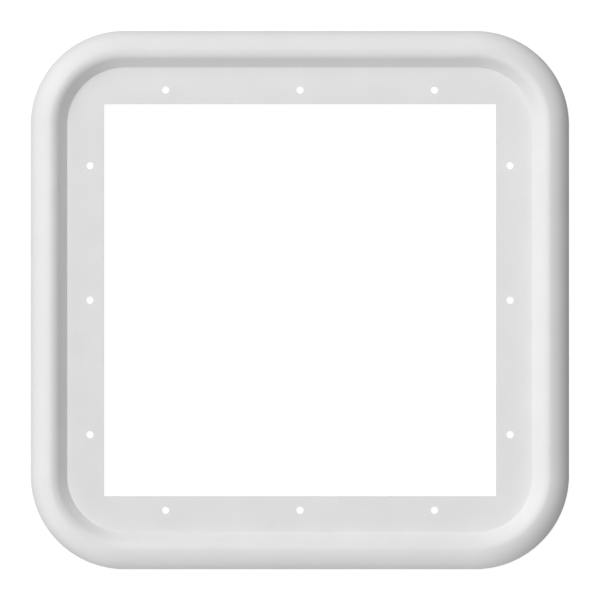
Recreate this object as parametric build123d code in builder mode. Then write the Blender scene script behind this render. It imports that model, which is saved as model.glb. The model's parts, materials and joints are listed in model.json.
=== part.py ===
from build123d import *
import os
from math import cos, radians, sin, tan

# One-piece trim frame for a shower access opening in a caravan. Plastic sheet is formed into a
# rounded square ring: a hollow rim stands up all round the outside, and a flat flange with screw
# holes lies inside it, round the square opening. The frame lies on its back, +Z is the side that
# faces the room, and the origin is the centre of the opening on the back plane. Sizes are in mm.

# Plan
opening = 355.6  # side of the square opening, 14 in
flange_width = 33.2  # from the opening to the foot of the rim
corner_radius = 85.3  # outer edge, at each corner of the frame

# Section, the same all the way round, with its slopes in degrees from the back plane
sheet = 3.0  # thickness of the formed sheet
shoulder_radius = 22.7  # outer side of the rim, from the back plane up to the crest
crest_radius = 9.7  # from the shoulder over the top of the rim to the inner wall
root_radius = 1.0  # hollow corner between the inner wall and the flange
edge_slope = 70.5  # shoulder at the outer edge
crest_slope = 12.5  # where the shoulder meets the crest
wall_slope = 49.5  # inner wall

# Screw holes
holes_per_side = 3
hole_diameter = 6.8
hole_inset = 12.7  # from the edge of the opening to the line of holes
hole_pitch = 121.9

# Shoulder and crest set the height of the rim, and the inner wall fills what is left of it
edge = radians(edge_slope)
join = radians(crest_slope)
wall = radians(wall_slope)
rim_height = shoulder_radius * (cos(join) - cos(edge)) + crest_radius * (1 - cos(join))
wall_rise = rim_height - sheet - crest_radius * (1 - cos(wall))
wall_length = wall_rise / sin(wall)

# Width of the rim, from the foot of the inner wall to the outer edge
crest_run = crest_radius * (sin(wall) + sin(join))
shoulder_run = shoulder_radius * (sin(edge) - sin(join))
rim_width = wall_rise / tan(wall) + crest_run + shoulder_run

# Distances from the centre of the frame
hole_line = opening / 2 + hole_inset
foot_x = opening / 2 + flange_width
edge_x = foot_x + rim_width

# The flat plate stops short of the hollow corner, and the swept section laps onto it by one sheet
plate_x = foot_x - root_radius
lap_x = plate_x - sheet

# Outer edge of the frame, which the section of the rim follows
with BuildSketch() as outline:
    RectangleRounded(2 * edge_x, 2 * edge_x, corner_radius)

with BuildPart() as trim_frame:
    # Flat flange
    with BuildSketch():
        RectangleRounded(2 * plate_x, 2 * plate_x, corner_radius - edge_x + plate_x)
        Rectangle(opening, opening, mode=Mode.SUBTRACT)
        with PolarLocations(hole_line, 4):
            with GridLocations(0, hole_pitch, 1, holes_per_side):
                Circle(hole_diameter / 2, mode=Mode.SUBTRACT)
    extrude(amount=sheet)

    # Hollow rim: its front skin is drawn from the flange outwards and thickened to the back,
    # and its outer edge is trimmed flat, level with the back of the flange
    with BuildSketch(Plane.XZ):
        with BuildLine():
            flange = Line((lap_x, sheet), (foot_x, sheet))
            inner_wall = PolarLine(flange @ 1, wall_length, wall_slope)
            crest = JernArc(inner_wall @ 1, inner_wall % 1, crest_radius, -wall_slope - crest_slope)
            JernArc(crest @ 1, crest % 1, shoulder_radius, crest_slope - edge_slope)
            fillet(flange.vertices().sort_by(Axis.X)[-1], root_radius)
            offset(amount=sheet, side=Side.RIGHT)
        make_face()
        split(bisect_by=Plane.XZ, keep=Keep.BOTTOM)
    sweep(path=outline.face().outer_wire())

trim_frame.part.label = "trim_frame"

os.makedirs("parts", exist_ok=True)
export_step(trim_frame.part, "parts/trim_frame.step")
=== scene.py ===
import json
from math import cos, pi, radians, sin

import bpy
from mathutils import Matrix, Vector


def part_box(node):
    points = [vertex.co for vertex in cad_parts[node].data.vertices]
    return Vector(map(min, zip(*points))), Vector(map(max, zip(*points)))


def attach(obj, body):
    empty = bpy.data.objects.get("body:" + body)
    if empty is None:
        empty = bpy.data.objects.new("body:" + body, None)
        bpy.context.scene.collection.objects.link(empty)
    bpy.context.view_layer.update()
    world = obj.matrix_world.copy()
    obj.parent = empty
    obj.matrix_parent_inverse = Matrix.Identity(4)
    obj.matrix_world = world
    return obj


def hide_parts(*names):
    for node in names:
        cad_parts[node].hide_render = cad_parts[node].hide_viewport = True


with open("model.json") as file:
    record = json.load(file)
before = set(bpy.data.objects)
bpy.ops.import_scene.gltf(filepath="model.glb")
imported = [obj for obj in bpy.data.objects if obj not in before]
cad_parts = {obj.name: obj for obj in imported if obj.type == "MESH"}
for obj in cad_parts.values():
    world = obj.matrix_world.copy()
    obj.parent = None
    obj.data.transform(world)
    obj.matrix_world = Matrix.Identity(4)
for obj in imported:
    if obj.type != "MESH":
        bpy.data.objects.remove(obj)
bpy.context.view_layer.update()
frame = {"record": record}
print("frame loaded")

millimetre = 0.001


# small helpers that wire node trees

def addNode(tree, kind, inputs=None, **settings):
    node = tree.nodes.new(kind)
    for name, value in settings.items():
        setattr(node, name, value)
    for name, value in (inputs or {}).items():
        fillSocket(tree, node.inputs[name], value)
    return node


def fillSocket(tree, socket, value):
    if isinstance(value, bpy.types.NodeSocket):
        tree.links.new(value, socket)
    else:
        socket.default_value = value


def calculate(tree, operation, first, second=0.0):
    return addNode(tree, "ShaderNodeMath", {0: first, 1: second}, operation=operation).outputs[0]


def vector(tree, x=0.0, y=0.0, z=0.0):
    return addNode(tree, "ShaderNodeCombineXYZ", {"X": x, "Y": y, "Z": z}).outputs[0]


def mixedColour(tree, factor, first, second):
    # the Mix node keeps its colour sockets at 6 and 7, and its colour result at 2
    return addNode(tree, "ShaderNodeMix", {0: factor, 6: first, 7: second}, data_type="RGBA").outputs[2]


def joined(tree, geometries):
    node = addNode(tree, "GeometryNodeJoinGeometry")
    for geometry in geometries:
        tree.links.new(geometry, node.inputs[0])
    return node.outputs[0]


def chosenByIndex(tree, kind, index, values):
    # one value for each point of the section, in order
    node = addNode(tree, "GeometryNodeIndexSwitch", data_type=kind)
    while len(node.index_switch_items) < len(values):
        node.index_switch_items.new()
    tree.links.new(index, node.inputs["Index"])
    for place, value in enumerate(values):
        fillSocket(tree, node.inputs[place + 1], value)
    return node.outputs[0]


# camera: straight down on the face, with a long lens

photoView = {
    "lens": 600.0,
    "sensor": 36.0,
    "picture width": 544.1 * millimetre,  # what the picture spans at the frame
    "aim": (0.12 * millimetre, 0.08 * millimetre),
}


def addCamera():
    camera = bpy.data.objects.new("camera", bpy.data.cameras.new("camera"))
    camera.data.lens = photoView["lens"]
    camera.data.sensor_width = photoView["sensor"]
    distance = photoView["picture width"] * photoView["lens"] / photoView["sensor"]
    camera.location = (*photoView["aim"], distance)
    bpy.context.scene.collection.objects.link(camera)
    bpy.context.scene.camera = camera


addCamera()
print("camera set")


# white plastic: one group for the skin, which both materials use with their own values

formedPlastic = {
    "Pale Tone": (0.812, 0.812, 0.812, 1.0),
    "Deep Tone": (0.792, 0.792, 0.792, 1.0),
    "Cloud Size": 35.0 * millimetre,
    "Grain Size": 0.6 * millimetre,
    "Grain Stretch": (1.0, 1.0, 1.0),
    "Smoothest": 0.54,
    "Roughest": 0.62,
}
formedGrainDepth = 0.03 * millimetre

trimmedPlastic = {
    "Pale Tone": (0.83, 0.83, 0.83, 1.0),
    "Deep Tone": (0.77, 0.77, 0.77, 1.0),
    "Cloud Size": 4.0 * millimetre,
    "Grain Size": 0.5 * millimetre,
    "Grain Stretch": (1.0, 1.0, 0.08),  # cutter marks run through the sheet
    "Smoothest": 0.55,
    "Roughest": 0.75,
}
trimmedGrainDepth = 0.05 * millimetre
plasticShine = 0.25  # half of the usual, for a dull sheet
plasticNoise = {
    "cloud detail": 3.0,
    "cloud range": (0.3, 0.7),  # nearly all that the noise gives lies between these
    "grain detail": 2.0,
}


def plasticSkinGroup():
    group = bpy.data.node_groups.new("plastic skin", "ShaderNodeTree")
    kinds = {
        "Pale Tone": "NodeSocketColor",
        "Deep Tone": "NodeSocketColor",
        "Cloud Size": "NodeSocketFloat",
        "Grain Size": "NodeSocketFloat",
        "Grain Stretch": "NodeSocketVector",
        "Smoothest": "NodeSocketFloat",
        "Roughest": "NodeSocketFloat",
    }
    for name, kind in kinds.items():
        group.interface.new_socket(name, in_out="INPUT", socket_type=kind)
    group.interface.new_socket("Colour", in_out="OUTPUT", socket_type="NodeSocketColor")
    group.interface.new_socket("Roughness", in_out="OUTPUT", socket_type="NodeSocketFloat")
    group.interface.new_socket("Height", in_out="OUTPUT", socket_type="NodeSocketFloat")
    given = addNode(group, "NodeGroupInput").outputs
    place = addNode(group, "ShaderNodeTexCoord").outputs["Object"]

    # slow clouds shift the tone and the sheen a little
    clouds = addNode(group, "ShaderNodeTexNoise", {
        "Vector": place,
        "Scale": calculate(group, "DIVIDE", 1.0, given["Cloud Size"]),
        "Detail": plasticNoise["cloud detail"],
    }).outputs["Fac"]
    lowest, highest = plasticNoise["cloud range"]
    spread = addNode(group, "ShaderNodeMapRange", {
        "Value": clouds,
        "From Min": lowest,
        "From Max": highest,
    }).outputs[0]
    tone = mixedColour(group, spread, given["Pale Tone"], given["Deep Tone"])
    sheen = addNode(group, "ShaderNodeMapRange", {
        "Value": spread,
        "To Min": given["Smoothest"],
        "To Max": given["Roughest"],
    }).outputs[0]

    # fine grain, drawn out where a cutter passed
    stretch = given["Grain Stretch"]
    drawn = addNode(group, "ShaderNodeVectorMath", {0: place, 1: stretch}, operation="MULTIPLY").outputs[0]
    grain = addNode(group, "ShaderNodeTexNoise", {
        "Vector": drawn,
        "Scale": calculate(group, "DIVIDE", 1.0, given["Grain Size"]),
        "Detail": plasticNoise["grain detail"],
    }).outputs["Fac"]
    output = addNode(group, "NodeGroupOutput")
    group.links.new(tone, output.inputs["Colour"])
    group.links.new(sheen, output.inputs["Roughness"])
    group.links.new(grain, output.inputs["Height"])
    return group


def plasticMaterial(name, skinGroup, values, grainDepth):
    material = bpy.data.materials.new(name)
    material.use_nodes = True
    tree = material.node_tree
    shader = tree.nodes["Principled BSDF"]
    skin = addNode(tree, "ShaderNodeGroup", node_tree=skinGroup)
    for socket, value in values.items():
        skin.inputs[socket].default_value = value
    bump = addNode(tree, "ShaderNodeBump", {"Height": skin.outputs["Height"], "Distance": grainDepth})
    tree.links.new(skin.outputs["Colour"], shader.inputs["Base Color"])
    tree.links.new(skin.outputs["Roughness"], shader.inputs["Roughness"])
    tree.links.new(bump.outputs["Normal"], shader.inputs["Normal"])
    shader.inputs["Specular IOR Level"].default_value = plasticShine
    return material


plasticSkin = plasticSkinGroup()
formedSkin = plasticMaterial("formed white plastic", plasticSkin, formedPlastic, formedGrainDepth)
trimmedEdge = plasticMaterial("trimmed white plastic", plasticSkin, trimmedPlastic, trimmedGrainDepth)
print("plastic made")


# formed frame: a section of the sheet swept round a rounded square, and a flat flange with its cuts

formedFrame = {
    "corner radius": 85.3 * millimetre,
    "sheet": 3.0 * millimetre,
    "shoulder radius": 22.7 * millimetre,
    "crest radius": 7.9 * millimetre,
    "fall radius": 11.3 * millimetre,  # from the crest down to the inner wall
    "root radius": 1.0 * millimetre,
    "edge slope": radians(70.5),
    "crest slope": radians(12.5),  # where the crest begins, and where it ends on its other side
    "wall slope": radians(47.7),
    "hole inset": 12.7 * millimetre,
    "edge break": 0.2 * millimetre,  # rounds every trimmed edge
    "end room": 3.0,  # edge breaks between the end of an arc and the back plane
    "cut lip": 2.0,  # edge breaks of flat face round a cut
    "foot run": 1.5,  # root radii of flat face inside the foot of the rim
    "holes a side": 3,
    "shoulder steps": 20,
    "crest steps": 10,
    "root steps": 8,
    "break steps": 3,
    "corner steps": 60,
    "hole sides": 48,
    "sharp angle": radians(10.0),
    "weld distance": 0.005 * millimetre,
}
squareSides = 4


def sizesFromFrame():
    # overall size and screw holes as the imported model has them
    low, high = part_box("trim_frame")
    mounts = {mount["name"]: mount["dims"] for mount in frame["record"]["mounts"]}
    corners = mounts["screw_corners_left_right"]
    return {
        "outer size": high.x - low.x,
        "hole row": corners["spacing_x_mm"] / 2 * millimetre,
        "hole pitch": corners["spacing_y_mm"] / 2 * millimetre,
        "hole radius": corners["hole_r_mm"] * millimetre,
    }


def arcPoint(tree, centre, radius, slope):
    # the point of an arc where its skin leans outwards by that slope
    across = calculate(tree, "MULTIPLY", radius, calculate(tree, "SINE", slope))
    up = calculate(tree, "MULTIPLY", radius, calculate(tree, "COSINE", slope))
    shift = vector(tree, across, up)
    return addNode(tree, "ShaderNodeVectorMath", {0: centre, 1: shift}, operation="ADD").outputs[0]


def arcCorner(tree, centre, radius, first, last):
    # where the tangents at the two ends of an arc meet
    halfTurn = calculate(tree, "MULTIPLY", calculate(tree, "SUBTRACT", last, first), 0.5)
    reach = calculate(tree, "DIVIDE", radius, calculate(tree, "COSINE", halfTurn))
    return arcPoint(tree, centre, reach, calculate(tree, "ADD", first, halfTurn))


def lineDown(tree, centre, radius, slope, level):
    # how far out the tangent of an arc, at that slope, comes down to a level
    point = addNode(tree, "ShaderNodeSeparateXYZ", {"Vector": arcPoint(tree, centre, radius, slope)}).outputs
    drop = calculate(tree, "SUBTRACT", point["Y"], level)
    run = calculate(tree, "DIVIDE", drop, calculate(tree, "TANGENT", slope))
    return calculate(tree, "ADD", point["X"], run)


def lowEnd(tree, size, centre, radius, slope):
    # an arc stops a little above the back plane, to leave room for the break of the trimmed edge
    room = calculate(tree, "MULTIPLY", size["edge break"], size["end room"])
    last = calculate(tree, "SUBTRACT", slope, calculate(tree, "DIVIDE", room, radius))
    return last, vector(tree, lineDown(tree, centre, radius, last, 0.0))


def roundedLine(tree, corners):
    # each corner has its place, the radius and steps of its rounding, and whether it is trimmed
    places, radii, steps, trimmed = zip(*corners)
    index = addNode(tree, "GeometryNodeInputIndex").outputs[0]
    line = addNode(tree, "GeometryNodeCurvePrimitiveLine").outputs[0]
    points = addNode(tree, "GeometryNodeResampleCurve", {"Curve": line, "Count": len(corners)}).outputs[0]
    outline = addNode(tree, "GeometryNodeSetPosition", {
        "Geometry": points,
        "Position": chosenByIndex(tree, "VECTOR", index, places),
    }).outputs[0]
    outline = addNode(tree, "GeometryNodeStoreNamedAttribute", {
        "Geometry": outline,
        "Name": "trimmedCorner",
        "Value": chosenByIndex(tree, "BOOLEAN", index, trimmed),
    }, data_type="BOOLEAN", domain="POINT").outputs[0]
    return addNode(tree, "GeometryNodeFilletCurve", {
        "Curve": outline,
        "Count": chosenByIndex(tree, "INT", index, steps),
        "Radius": chosenByIndex(tree, "FLOAT", index, radii),
    }, mode="POLY").outputs[0]


def rimSection(tree, size):
    # measured from the outer edge, x outwards and y up: from the back of the flange, along the back
    # skin, round the trimmed edge and over the front
    outerRadii = [size[part + " radius"] for part in ("shoulder", "crest", "fall")]
    innerRadii = [calculate(tree, "SUBTRACT", radius, size["sheet"]) for radius in outerRadii]
    shoulderRadius, crestRadius, fallRadius = outerRadii
    innerShoulder, innerCrest, innerFall = innerRadii
    join = size["crest slope"]
    over, wall = [calculate(tree, "MULTIPLY", slope, -1.0) for slope in (join, size["wall slope"])]
    inwards = calculate(tree, "MULTIPLY", shoulderRadius, -1.0)
    shoulder = arcPoint(tree, (0.0, 0.0, 0.0), inwards, size["edge slope"])
    crest = arcPoint(tree, shoulder, calculate(tree, "SUBTRACT", shoulderRadius, crestRadius), join)
    fall = arcPoint(tree, crest, calculate(tree, "SUBTRACT", crestRadius, fallRadius), over)

    # the back skin meets the back plane at its own slope
    height = calculate(tree, "MULTIPLY", shoulderRadius, calculate(tree, "COSINE", size["edge slope"]))
    innerSlope = calculate(tree, "ARCCOSINE", calculate(tree, "DIVIDE", height, innerShoulder))
    outerLast, outerEnd = lowEnd(tree, size, shoulder, shoulderRadius, size["edge slope"])
    innerLast, innerEnd = lowEnd(tree, size, shoulder, innerShoulder, innerSlope)

    foot = lineDown(tree, fall, fallRadius, wall, size["sheet"])
    backFoot = lineDown(tree, fall, innerFall, wall, 0.0)
    backRoot = calculate(tree, "ADD", size["root radius"], size["sheet"])
    footRun = calculate(tree, "MULTIPLY", size["root radius"], size["foot run"])
    start = calculate(tree, "SUBTRACT", foot, footRun)
    shoulderSteps, crestSteps = size["shoulder steps"], size["crest steps"]
    rootSteps, breakSteps = size["root steps"], size["break steps"]
    return roundedLine(tree, [
        (vector(tree, start), 0.0, 1, False),
        (vector(tree, backFoot), backRoot, rootSteps, False),
        (arcCorner(tree, fall, innerFall, wall, over), innerFall, crestSteps, False),
        (arcCorner(tree, crest, innerCrest, over, join), innerCrest, crestSteps, False),
        (arcCorner(tree, shoulder, innerShoulder, join, innerLast), innerShoulder, shoulderSteps, False),
        (innerEnd, size["edge break"], breakSteps, True),
        (outerEnd, size["edge break"], breakSteps, True),
        (arcCorner(tree, shoulder, shoulderRadius, join, outerLast), shoulderRadius, shoulderSteps, False),
        (arcCorner(tree, crest, crestRadius, over, join), crestRadius, crestSteps, False),
        (arcCorner(tree, fall, fallRadius, wall, over), fallRadius, crestSteps, False),
        (vector(tree, foot, size["sheet"]), size["root radius"], rootSteps, False),
        (vector(tree, start, size["sheet"]), 0.0, 1, False),
    ])


def cutSection(tree, size):
    # down through the sheet, with a narrow lip on both faces
    lip = calculate(tree, "MULTIPLY", size["edge break"], size["cut lip"])
    return roundedLine(tree, [
        (vector(tree, lip, size["sheet"]), 0.0, 1, False),
        (vector(tree, 0.0, size["sheet"]), size["edge break"], size["break steps"], True),
        (vector(tree), size["edge break"], size["break steps"], True),
        (vector(tree, lip), 0.0, 1, False),
    ])


def outerEdge(tree, size):
    square = addNode(tree, "GeometryNodeCurvePrimitiveQuadrilateral", {
        "Width": size["outer size"],
        "Height": size["outer size"],
    }).outputs[0]
    return addNode(tree, "GeometryNodeFilletCurve", {
        "Curve": square,
        "Count": size["corner steps"],
        "Radius": size["corner radius"],
    }, mode="POLY").outputs[0]


def cutLines(tree, size):
    # the square opening, and a row of holes along each of its sides
    halfOpening = calculate(tree, "SUBTRACT", size["hole row"], size["hole inset"])
    opening = calculate(tree, "MULTIPLY", 2.0, halfOpening)
    square = addNode(tree, "GeometryNodeCurvePrimitiveQuadrilateral", {"Width": opening, "Height": opening})
    hole = addNode(tree, "GeometryNodeCurvePrimitiveCircle", {
        "Resolution": size["hole sides"],
        "Radius": size["hole radius"],
    })
    gaps = calculate(tree, "SUBTRACT", size["holes a side"], 1.0)
    rowLength = calculate(tree, "MULTIPLY", gaps, size["hole pitch"])
    firstHole = calculate(tree, "MULTIPLY", rowLength, -0.5)
    row = addNode(tree, "GeometryNodeMeshLine", {
        "Count": size["holes a side"],
        "Start Location": vector(tree, size["hole row"], firstHole),
        "Offset": vector(tree, 0.0, size["hole pitch"]),
    }).outputs[0]
    side = addNode(tree, "GeometryNodeInstanceOnPoints", {
        "Points": row,
        "Instance": hole.outputs["Curve"],
    }).outputs[0]
    index = addNode(tree, "GeometryNodeInputIndex").outputs[0]
    turn = calculate(tree, "MULTIPLY", index, 2 * pi / squareSides)
    allSides = addNode(tree, "GeometryNodeInstanceOnPoints", {
        "Points": addNode(tree, "GeometryNodePoints", {"Count": squareSides}).outputs[0],
        "Instance": side,
        "Rotation": vector(tree, z=turn),
    }).outputs[0]
    return addNode(tree, "GeometryNodeRealizeInstances", {
        "Geometry": joined(tree, [square.outputs["Curve"], allSides]),
    }).outputs[0]


def swept(tree, path, section):
    # faces between trimmed corners of the section are trimmed faces
    skin = addNode(tree, "GeometryNodeCurveToMesh", {"Curve": path, "Profile Curve": section}).outputs[0]
    corner = addNode(tree, "GeometryNodeInputNamedAttribute", {"Name": "trimmedCorner"}, data_type="BOOLEAN")
    return addNode(tree, "GeometryNodeStoreNamedAttribute", {
        "Geometry": skin,
        "Name": "trimmed",
        "Value": corner.outputs["Attribute"],
    }, data_type="BOOLEAN", domain="FACE").outputs[0]


def backEdges(tree, size, skins):
    # the open edges of the swept skins that lie in the back plane, which is on top until the sheet is turned
    faces = addNode(tree, "GeometryNodeInputMeshEdgeNeighbors").outputs[0]
    place = addNode(tree, "GeometryNodeInputPosition").outputs[0]
    height = addNode(tree, "ShaderNodeSeparateXYZ", {"Vector": place}).outputs["Z"]
    single = calculate(tree, "LESS_THAN", faces, 1.5)  # one face, not two
    midSheet = calculate(tree, "MULTIPLY", size["sheet"], -0.5)
    atBack = calculate(tree, "GREATER_THAN", height, midSheet)
    return addNode(tree, "GeometryNodeMeshToCurve", {
        "Mesh": skins,
        "Selection": calculate(tree, "MULTIPLY", single, atBack),
    }).outputs[0]


def flatFaces(tree, size, skins):
    # both faces of the flange, from the foot of the rim in to the cuts
    outline = backEdges(tree, size, skins)
    back = addNode(tree, "GeometryNodeFillCurve", {"Curve": outline}, mode="TRIANGLES").outputs[0]
    flipped = addNode(tree, "GeometryNodeFlipFaces", {"Mesh": back}).outputs[0]
    lower = vector(tree, z=calculate(tree, "MULTIPLY", size["sheet"], -1.0))
    face = addNode(tree, "GeometryNodeTransform", {"Geometry": flipped, "Translation": lower}).outputs[0]
    return joined(tree, [back, face])


def smoothed(tree, geometry, sharpAngle):
    # smooth all over, but for the edges that turn sharply
    smooth = addNode(tree, "GeometryNodeSetShadeSmooth", {"Geometry": geometry}, domain="FACE").outputs[0]
    angle = addNode(tree, "GeometryNodeInputMeshEdgeAngle").outputs["Unsigned Angle"]
    sharp = addNode(tree, "FunctionNodeCompare", {"A": angle, "B": sharpAngle}).outputs[0]
    return addNode(tree, "GeometryNodeSetShadeSmooth", {
        "Geometry": smooth,
        "Selection": sharp,
        "Shade Smooth": False,
    }, domain="EDGE").outputs[0]


def frameTree(sizes):
    tree = bpy.data.node_groups.new("formed frame", "GeometryNodeTree")
    tree.interface.new_socket("Geometry", in_out="OUTPUT", socket_type="NodeSocketGeometry")
    for name, value in sizes.items():
        kind = "NodeSocketInt" if isinstance(value, int) else "NodeSocketFloat"
        tree.interface.new_socket(name, in_out="INPUT", socket_type=kind)
    size = addNode(tree, "NodeGroupInput").outputs
    rim = swept(tree, outerEdge(tree, size), rimSection(tree, size))
    cuts = swept(tree, cutLines(tree, size), cutSection(tree, size))
    skins = joined(tree, [rim, cuts])
    sheet = addNode(tree, "GeometryNodeMergeByDistance", {
        "Geometry": joined(tree, [skins, flatFaces(tree, size, skins)]),
        "Distance": size["weld distance"],
    }).outputs[0]

    # a swept section comes out face down
    upright = addNode(tree, "GeometryNodeTransform", {
        "Geometry": sheet,
        "Rotation": (pi, 0.0, 0.0),
    }).outputs[0]
    shaded = smoothed(tree, upright, size["sharp angle"])
    real = addNode(tree, "GeometryNodeRealizeInstances", {"Geometry": shaded}).outputs[0]
    skinned = addNode(tree, "GeometryNodeSetMaterial", {"Geometry": real, "Material": formedSkin}).outputs[0]
    cutFaces = addNode(tree, "GeometryNodeInputNamedAttribute", {"Name": "trimmed"}, data_type="BOOLEAN")
    finished = addNode(tree, "GeometryNodeSetMaterial", {
        "Geometry": skinned,
        "Selection": cutFaces.outputs["Attribute"],
        "Material": trimmedEdge,
    }).outputs[0]
    output = addNode(tree, "NodeGroupOutput")
    tree.links.new(finished, output.inputs[0])
    return tree


def evaluatedMesh(shape):
    bpy.context.view_layer.update()
    evaluated = shape.evaluated_get(bpy.context.evaluated_depsgraph_get())
    return bpy.data.meshes.new_from_object(evaluated)


def makeFormedFrame():
    sizes = {**formedFrame, **sizesFromFrame()}
    shape = bpy.data.objects.new("formedFrame", bpy.data.meshes.new("formedFrame"))
    bpy.context.scene.collection.objects.link(shape)
    modifier = shape.modifiers.new("formed frame", "NODES")
    modifier.node_group = frameTree(sizes)
    for item in modifier.node_group.interface.items_tree:
        if item.in_out == "INPUT":
            modifier[item.identifier] = sizes[item.name]
    mesh = evaluatedMesh(shape)
    mesh.materials.pop(index=0)  # an empty slot that the sweep leaves
    shape.modifiers.clear()
    shape.data = mesh
    return shape


whiteFrame = makeFormedFrame()
print("formed frame", len(whiteFrame.data.vertices), "points", len(whiteFrame.data.polygons), "faces")
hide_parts("trim_frame")
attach(whiteFrame, "root")
print("formed frame done")


# studio: a pale floor, a plain world and soft lamps

studioFloor = {
    "half side": 4.0,
    "gap": 0.1 * millimetre,
    "near glow": 0.87,
    "far glow": 1.0,
    "fade start": 0.5,  # metres from the middle, where the near glow ends
    "fade end": 2.5,
    "shown tone": 0.2,
    "bounce tone": 0.05,
}

studioWorld = {
    "backdrop": 1.0,
    "ambient": 0.05,
}

softLamps = {
    "overhead": {"azimuth": 0.0, "elevation": 90.0, "width": 3.75, "height": 3.75, "watts": 385.0},
    "key": {"azimuth": 135.0, "elevation": 45.0, "width": 2.5, "height": 2.5, "watts": 259.0},
    "under key": {"azimuth": 120.0, "elevation": 30.0, "width": 2.5, "height": 2.5, "watts": 145.0},
    "near left fill": {"azimuth": 225.0, "elevation": 15.0, "width": 3.75, "height": 2.25, "watts": 128.0},
    "far left strip": {"azimuth": 135.0, "elevation": 4.0, "width": 4.5, "height": 1.0, "watts": 128.0},
    "near left strip": {"azimuth": 225.0, "elevation": 4.0, "width": 4.5, "height": 1.0, "watts": 67.0},
    "near floor strip": {"azimuth": 270.0, "elevation": 0.3, "width": 4.5, "height": 0.075, "watts": 161.0},
    "far right strip": {"azimuth": 45.0, "elevation": 0.3, "width": 4.5, "height": 0.075, "watts": 54.0},
}
lampDistance = 9.0


def seenDirectly(tree):
    # 1 for rays that look at the background: from the camera, a gloss or a clear body
    rays = addNode(tree, "ShaderNodeLightPath").outputs
    looks = calculate(tree, "MAXIMUM", rays["Is Camera Ray"], rays["Is Glossy Ray"])
    return calculate(tree, "MAXIMUM", looks, rays["Is Transmission Ray"])


def grey(tone):
    return (tone, tone, tone, 1.0)


white = grey(1.0)


def floorMaterial():
    material = bpy.data.materials.new("studio floor")
    material.use_nodes = True
    tree = material.node_tree
    tree.nodes.clear()
    place = addNode(tree, "ShaderNodeTexCoord").outputs["Object"]
    distance = addNode(tree, "ShaderNodeVectorMath", {0: place}, operation="LENGTH").outputs["Value"]
    strength = addNode(tree, "ShaderNodeMapRange", {
        "Value": distance,
        "From Min": studioFloor["fade start"],
        "From Max": studioFloor["fade end"],
        "To Min": studioFloor["near glow"],
        "To Max": studioFloor["far glow"],
    }).outputs[0]
    glow = addNode(tree, "ShaderNodeEmission", {"Color": white, "Strength": strength}).outputs[0]
    shown = addNode(tree, "ShaderNodeBsdfDiffuse", {"Color": grey(studioFloor["shown tone"])}).outputs[0]
    bounce = addNode(tree, "ShaderNodeBsdfDiffuse", {"Color": grey(studioFloor["bounce tone"])}).outputs[0]
    pale = addNode(tree, "ShaderNodeAddShader", {0: glow, 1: shown}).outputs[0]
    mixed = addNode(tree, "ShaderNodeMixShader", {0: seenDirectly(tree), 1: bounce, 2: pale}).outputs[0]
    addNode(tree, "ShaderNodeOutputMaterial", {"Surface": mixed})
    return material


def addFloor():
    side = studioFloor["half side"]
    level = -studioFloor["gap"]
    corners = [(-side, -side, level), (side, -side, level), (side, side, level), (-side, side, level)]
    mesh = bpy.data.meshes.new("floor")
    mesh.from_pydata(corners, [], [(0, 1, 2, 3)])
    mesh.materials.append(floorMaterial())
    floor = bpy.data.objects.new("floor", mesh)
    bpy.context.scene.collection.objects.link(floor)


def setWorld():
    world = bpy.data.worlds.new("studio")
    world.use_nodes = True
    tree = world.node_tree
    tree.nodes.clear()
    ambient, backdrop = [
        addNode(tree, "ShaderNodeBackground", {"Color": white, "Strength": studioWorld[name]}).outputs[0]
        for name in ("ambient", "backdrop")
    ]
    mixed = addNode(tree, "ShaderNodeMixShader", {0: seenDirectly(tree), 1: ambient, 2: backdrop}).outputs[0]
    addNode(tree, "ShaderNodeOutputWorld", {"Surface": mixed})
    bpy.context.scene.world = world


def addLamp(name, azimuth, elevation, width, height, watts):
    # a soft lamp that faces the middle of the frame: azimuth 0 stands at +X, 90 at +Y
    lamp = bpy.data.objects.new(name, bpy.data.lights.new(name, "AREA"))
    lamp.data.shape = "RECTANGLE"
    lamp.data.size = width
    lamp.data.size_y = height
    lamp.data.energy = watts
    level = cos(radians(elevation))
    way = Vector((cos(radians(azimuth)) * level, sin(radians(azimuth)) * level, sin(radians(elevation))))
    lamp.location = way * lampDistance
    lamp.rotation_euler = way.to_track_quat("Z", "Y").to_euler()
    lamp.visible_camera = False
    bpy.context.scene.collection.objects.link(lamp)
    return lamp


addFloor()
setWorld()
for name, lamp in softLamps.items():
    addLamp(name, **lamp)
bpy.context.scene.view_settings.view_transform = "Standard"
print("studio set")
